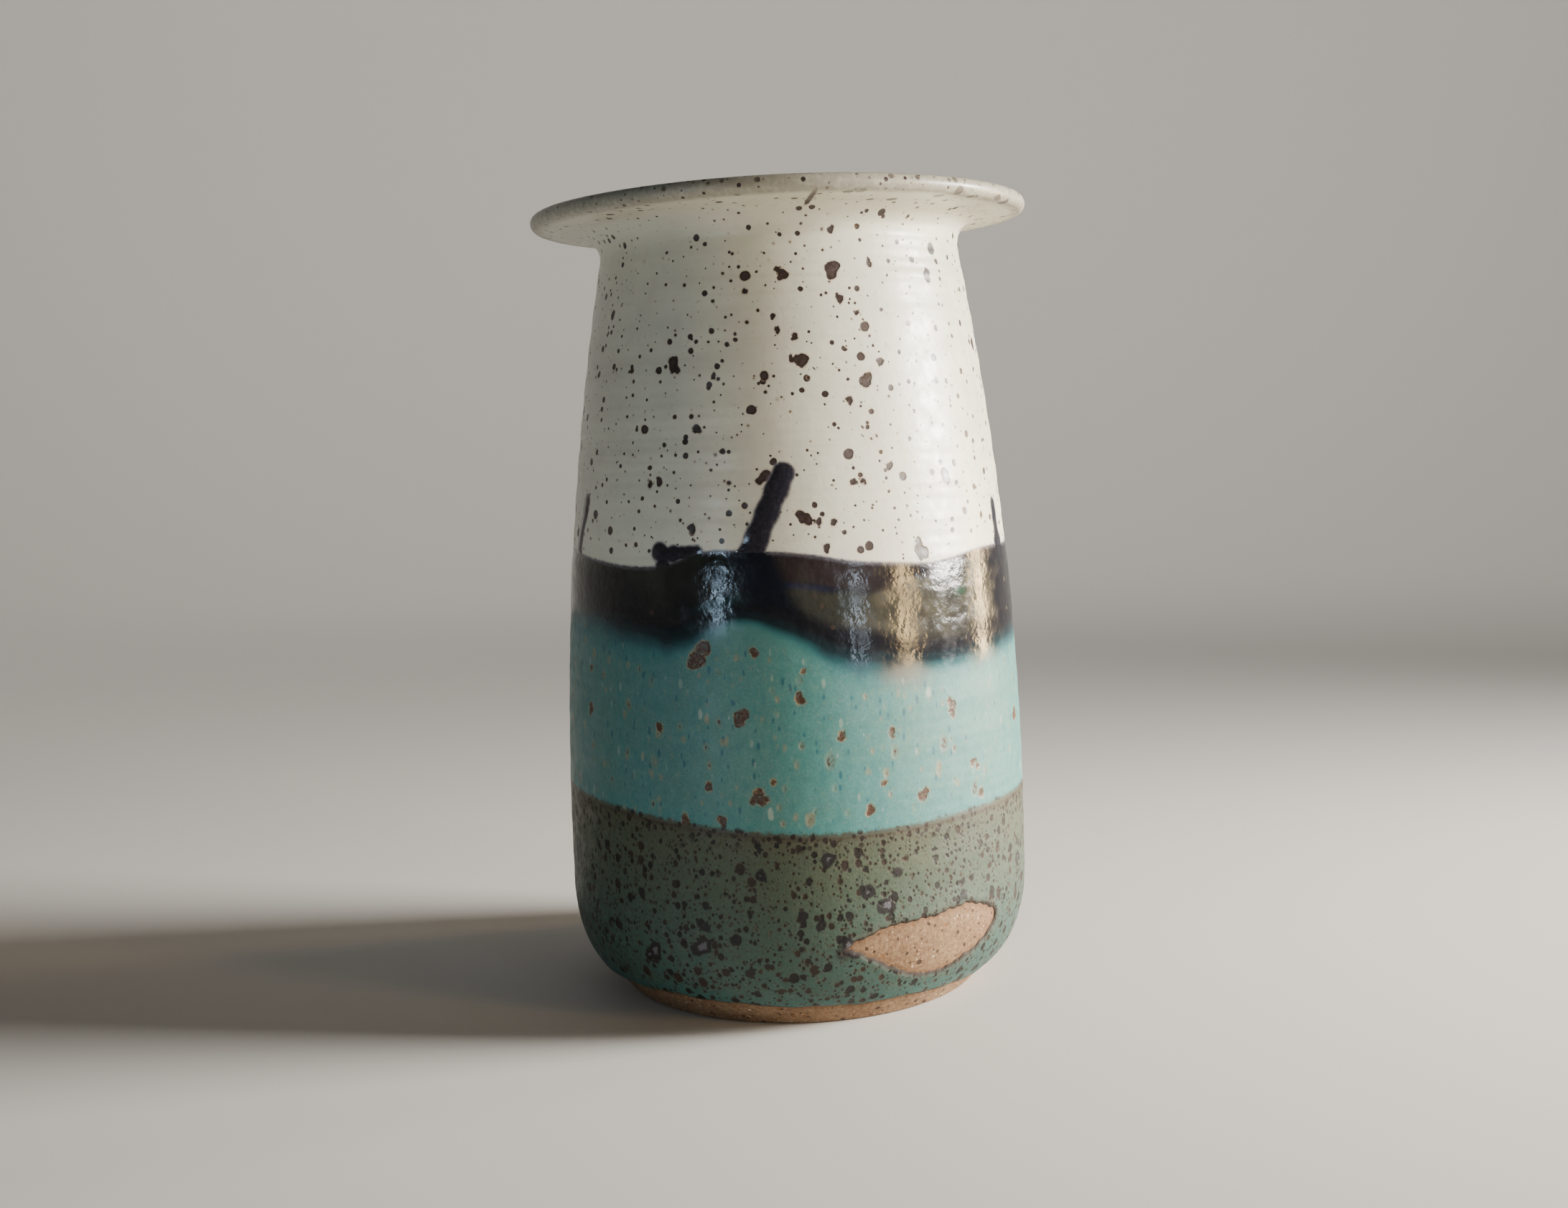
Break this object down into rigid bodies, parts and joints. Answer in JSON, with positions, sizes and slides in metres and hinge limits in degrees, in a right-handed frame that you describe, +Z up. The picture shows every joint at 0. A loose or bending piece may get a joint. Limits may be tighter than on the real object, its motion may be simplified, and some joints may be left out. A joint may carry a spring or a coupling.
{
  "type": "stoneware pottery vase",
  "caption": "Hand-thrown stoneware vase: tapering body, wide flat rim, white, dark, turquoise and grey glaze bands, brushed strokes, a bare leaf-shaped window and a bare clay foot.",
  "frame": {"origin": "centre of the circle that the foot rests on", "axes": "+Z up along the vase's axis; -Y is the front, with the long brush stroke; +X is to the right of the front"},
  "size_m": [0.152, 0.152, 0.24],
  "materials": {
    "bare_clay": "unglazed fired stoneware, sandy, matte",
    "liner_glaze": "satin cream glaze with iron specks",
    "white_glaze": "satin white glaze with brown iron spots",
    "dark_glaze": "glossy, black to olive",
    "turquoise_glaze": "satin turquoise glaze with rust spots",
    "grey_glaze": "matte grey-green glaze, thickly speckled",
    "brushed_oxide": "glossy blue-black brushwork"
  },
  "bodies": {
    "root": {"clay_body": "bare_clay", "liner_glaze": "liner_glaze", "white_glaze": "white_glaze", "dark_band_glaze": "dark_glaze", "turquoise_glaze": "turquoise_glaze", "grey_glaze": "grey_glaze", "brush_stroke_1": "brushed_oxide", "brush_stroke_2": "brushed_oxide", "brush_stroke_3": "brushed_oxide", "brush_stroke_4": "brushed_oxide", "brush_stroke_5": "brushed_oxide", "brush_stroke_6": "brushed_oxide", "brush_dab": "brushed_oxide"}
  },
  "joints": []
}
